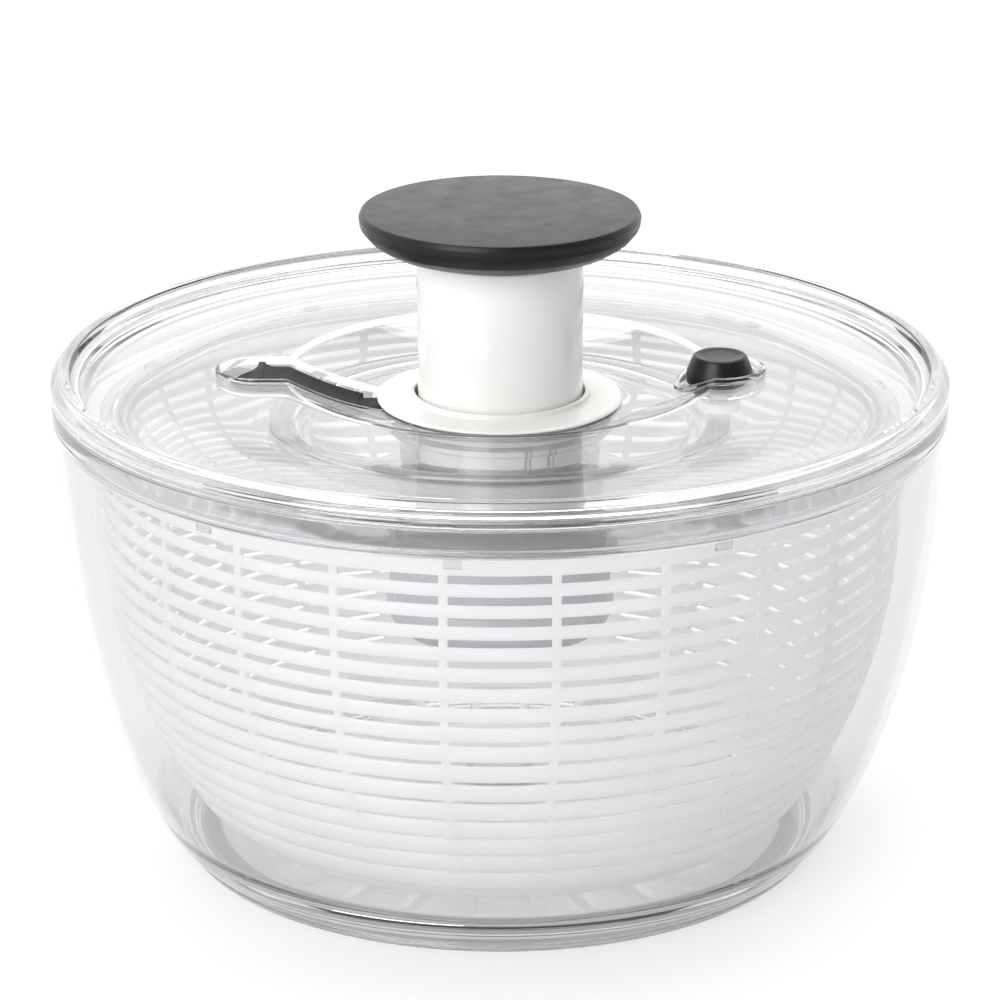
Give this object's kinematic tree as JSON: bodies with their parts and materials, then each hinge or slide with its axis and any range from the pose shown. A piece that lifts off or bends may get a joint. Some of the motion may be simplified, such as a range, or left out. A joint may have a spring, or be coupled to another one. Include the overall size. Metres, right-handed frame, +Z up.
{
  "type": "salad spinner",
  "caption": "Round push-down salad spinner: clear bowl, slotted white basket, clear lid with a pump knob, brake button and lock lever.",
  "frame": {"origin": "centre of the base, where the non-slip ring meets the table", "axes": "+Z up along the drive axis, lock lever towards -X, brake button towards +X"},
  "size_m": [0.267, 0.267, 0.1945],
  "materials": {
    "clear_bowl": "clear polished plastic",
    "clear_lid": "clear polished plastic",
    "clear_drive": "clear moulded plastic",
    "clear_soft": "clear soft non-slip elastomer",
    "basket_white": "translucent white satin plastic",
    "white_gloss": "glossy white plastic",
    "natural_white": "natural white slippery plastic",
    "hub_grey": "translucent grey plastic",
    "black_soft": "fine-grained soft-touch black",
    "black_rigid": "rigid black plastic",
    "dark_grey": "satin dark grey plastic",
    "spring_steel": "drawn stainless wire",
    "screw_steel": "plain stainless steel"
  },
  "bodies": {
    "base": {"bowl": "clear_bowl", "non_slip_ring": "clear_soft"},
    "basket_pivot": {"pivot_bush": "natural_white"},
    "basket": {"basket": "basket_white"},
    "lid": {"lid_shell": "clear_lid", "collar": "white_gloss", "guide_sleeve": "clear_drive", "thrust_washer": "natural_white", "return_spring": "spring_steel", "brake_spring": "spring_steel"},
    "turntable": {"turntable_disc": "clear_drive", "brake_ring": "natural_white", "hub_cup": "hub_grey", "bearing_ring": "natural_white", "ratchet_ring": "natural_white"},
    "clutch": {"clutch_drum": "natural_white", "pawl_plate": "natural_white", "drive_nut": "natural_white"},
    "plunger": {"plunger_tube": "white_gloss", "spindle": "screw_steel", "knob_core": "black_rigid", "knob_cap": "black_soft", "knob_screw_1": "screw_steel", "knob_screw_2": "screw_steel", "knob_screw_3": "screw_steel"},
    "lock": {"lock_lever": "dark_grey"},
    "brake": {"brake_button": "black_soft", "brake_stem": "natural_white", "brake_pad": "natural_white"}
  },
  "joints": [
    {"name": "lid_lift", "type": "slide", "parent": "base", "child": "lid", "axis": [0, 0, 1], "range_m": [0, 0.26]},
    {"name": "basket_lift", "type": "slide", "parent": "base", "child": "basket_pivot", "axis": [0, 0, 1], "range_m": [0, 0.13]},
    {"name": "basket_spin", "type": "hinge", "parent": "basket_pivot", "child": "basket", "pos_m": [0, 0, 0.0164], "axis": [0, 0, 1], "continuous": true},
    {"name": "turntable_spin", "type": "hinge", "parent": "lid", "child": "turntable", "pos_m": [0, 0, 0.1063], "axis": [0, 0, 1], "continuous": true},
    {"name": "plunger_press", "type": "slide", "parent": "lid", "child": "plunger", "axis": [0, 0, -1], "range_m": [0, 0.042], "stiffness_N_per_m": 150, "springref_m": -0.02, "deforming": ["return_spring"]},
    {"name": "clutch_spin", "type": "hinge", "parent": "lid", "child": "clutch", "pos_m": [0, 0, 0.112], "axis": [0, 0, 1], "range_deg": [0, 380]},
    {"name": "lock_slide", "type": "slide", "parent": "lid", "child": "lock", "axis": [1, 0, 0], "range_m": [0, 0.005]},
    {"name": "brake_press", "type": "slide", "parent": "lid", "child": "brake", "axis": [0, 0, -1], "range_m": [0, 0.0022], "stiffness_N_per_m": 300, "springref_m": -0.003, "deforming": ["brake_spring"]}
  ],
  "couplings": [
    {"joint": "basket_lift", "follows": "lid_lift", "ratio": 0.5},
    {"joint": "basket_spin", "follows": "turntable_spin", "ratio": 1},
    {"joint": "clutch_spin", "follows": "plunger_press", "rad_per_m": 157.08}
  ]
}
